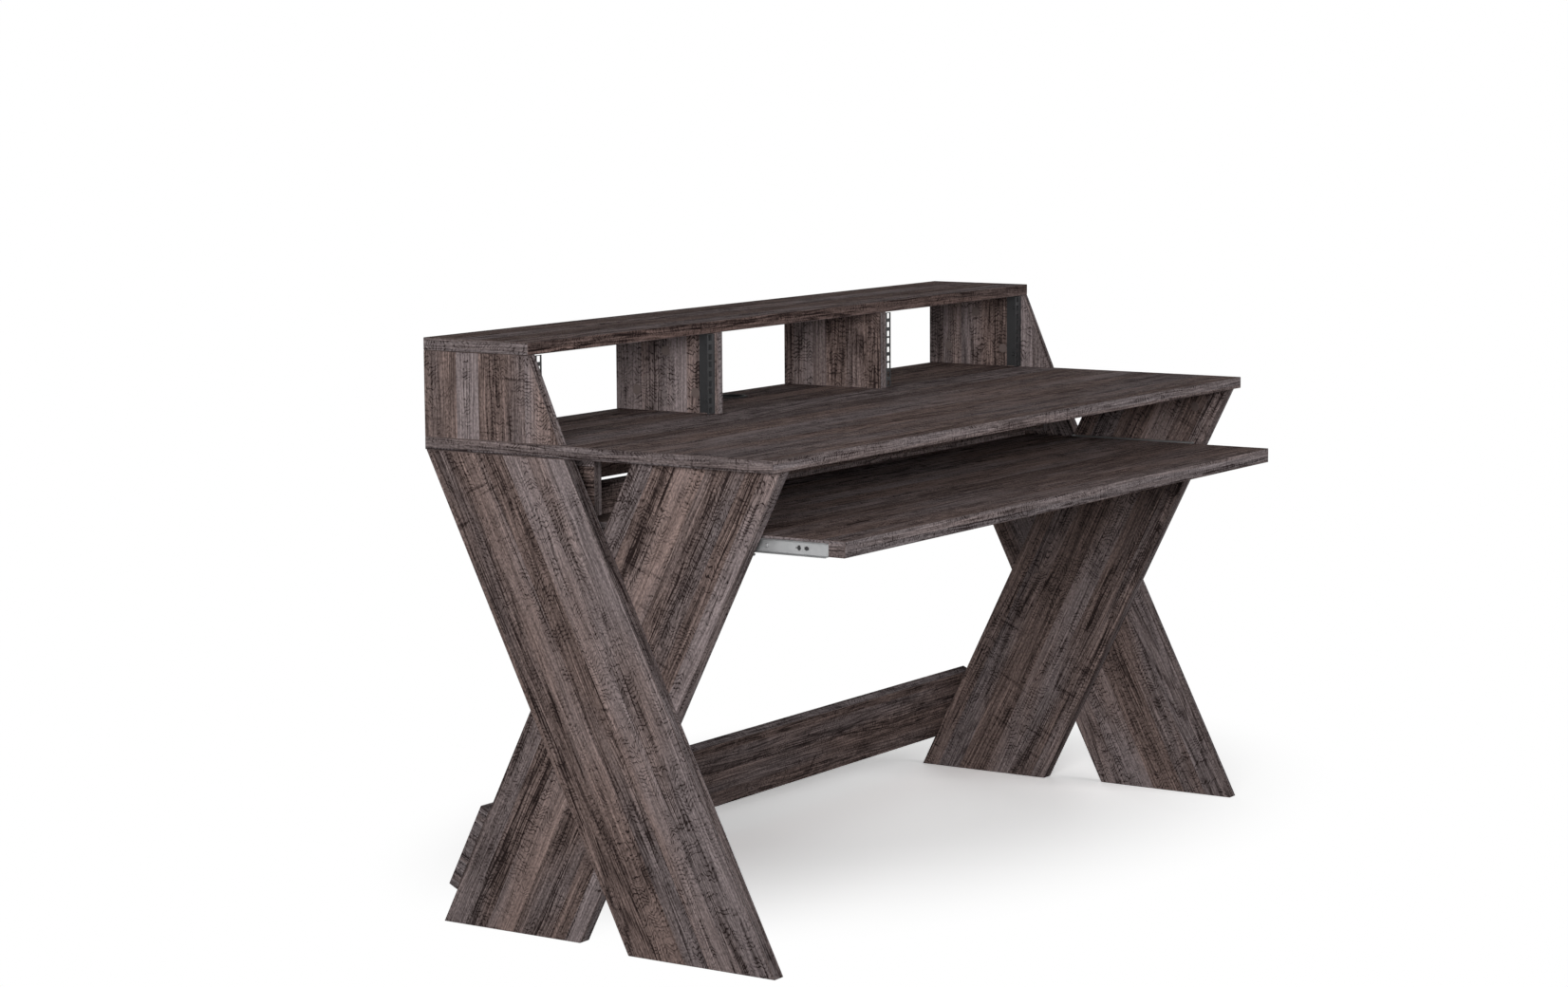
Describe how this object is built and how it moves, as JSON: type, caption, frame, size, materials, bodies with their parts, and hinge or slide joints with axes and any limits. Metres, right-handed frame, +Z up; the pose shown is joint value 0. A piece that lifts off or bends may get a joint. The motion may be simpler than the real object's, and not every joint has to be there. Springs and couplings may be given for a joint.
{
  "type": "studio desk",
  "caption": "Studio desk with crossed board legs, a riser holding two rack bays and a shelf, and a keyboard tray that slides out on ball bearing slides.",
  "frame": {"origin": "on the floor under the middle of the bounding box, with the keyboard tray pulled out as pictured", "axes": "+X along the desk's width to the user's right, -Y towards the user, +Z up"},
  "size_m": [1.555, 0.74, 0.938],
  "materials": {
    "laminate": "grey brown woodgrain laminate, matt",
    "zinc": "bright zinc plated steel",
    "bright_steel": "polished steel balls and their cage",
    "black_steel": "black powder coat",
    "black_plastic": "black moulded plastic"
  },
  "bodies": {
    "desk": {"tabletop": "laminate", "monitor_shelf": "laminate", "rear_apron": "laminate", "stretcher": "laminate", "outer_leg_left": "laminate", "outer_leg_right": "laminate", "inner_leg_left": "laminate", "inner_leg_right": "laminate", "hutch_side_left": "laminate", "hutch_side_right": "laminate", "divider_left": "laminate", "divider_right": "laminate", "side_board_left": "laminate", "side_board_right": "laminate", "rack_rail_left_outer": "black_steel", "rack_rail_left_inner": "black_steel", "rack_rail_right_outer": "black_steel", "rack_rail_right_inner": "black_steel", "slide_outer_left": "zinc", "slide_outer_right": "zinc", "slide_bumper_left": "black_plastic", "slide_bumper_right": "black_plastic", "cable_grommet": "black_plastic", "outer_leg_cam_left_front": "zinc", "outer_leg_cam_left_rear": "zinc", "outer_leg_cam_right_front": "zinc", "outer_leg_cam_right_rear": "zinc", "inner_leg_cam_left_front": "zinc", "inner_leg_cam_left_rear": "zinc", "inner_leg_cam_right_front": "zinc", "inner_leg_cam_right_rear": "zinc", "crossing_stud_left": "zinc", "crossing_stud_right": "zinc", "hutch_side_left_low_cam_front": "zinc", "hutch_side_left_low_cam_rear": "zinc", "hutch_side_left_top_cam": "zinc", "hutch_side_right_low_cam_front": "zinc", "hutch_side_right_low_cam_rear": "zinc", "hutch_side_right_top_cam": "zinc", "divider_left_low_cam_front": "zinc", "divider_left_low_cam_rear": "zinc", "divider_left_top_cam": "zinc", "divider_right_low_cam_front": "zinc", "divider_right_low_cam_rear": "zinc", "divider_right_top_cam": "zinc", "apron_angle_left": "zinc", "apron_angle_right": "zinc", "side_board_angle_left": "zinc", "side_board_angle_right": "zinc", "stretcher_screw_left_low": "zinc", "stretcher_screw_left_high": "zinc", "stretcher_screw_right_low": "zinc", "stretcher_screw_right_high": "zinc"},
    "tray": {"keyboard_tray": "laminate", "tray_back_board": "laminate", "slide_inner_left": "zinc", "slide_inner_right": "zinc"},
    "cage_left": {"ball_cage_left": "bright_steel"},
    "cage_right": {"ball_cage_right": "bright_steel"}
  },
  "joints": [
    {"name": "tray_slide", "type": "slide", "parent": "desk", "child": "tray", "axis": [0, -1, 0], "range_m": [-0.128, 0.04]},
    {"name": "cage_left_roll", "type": "slide", "parent": "desk", "child": "cage_left", "axis": [0, -1, 0], "range_m": [-0.064, 0.02]},
    {"name": "cage_right_roll", "type": "slide", "parent": "desk", "child": "cage_right", "axis": [0, -1, 0], "range_m": [-0.064, 0.02]}
  ],
  "couplings": [
    {"joint": "cage_left_roll", "follows": "tray_slide", "ratio": 0.5},
    {"joint": "cage_right_roll", "follows": "tray_slide", "ratio": 0.5}
  ]
}
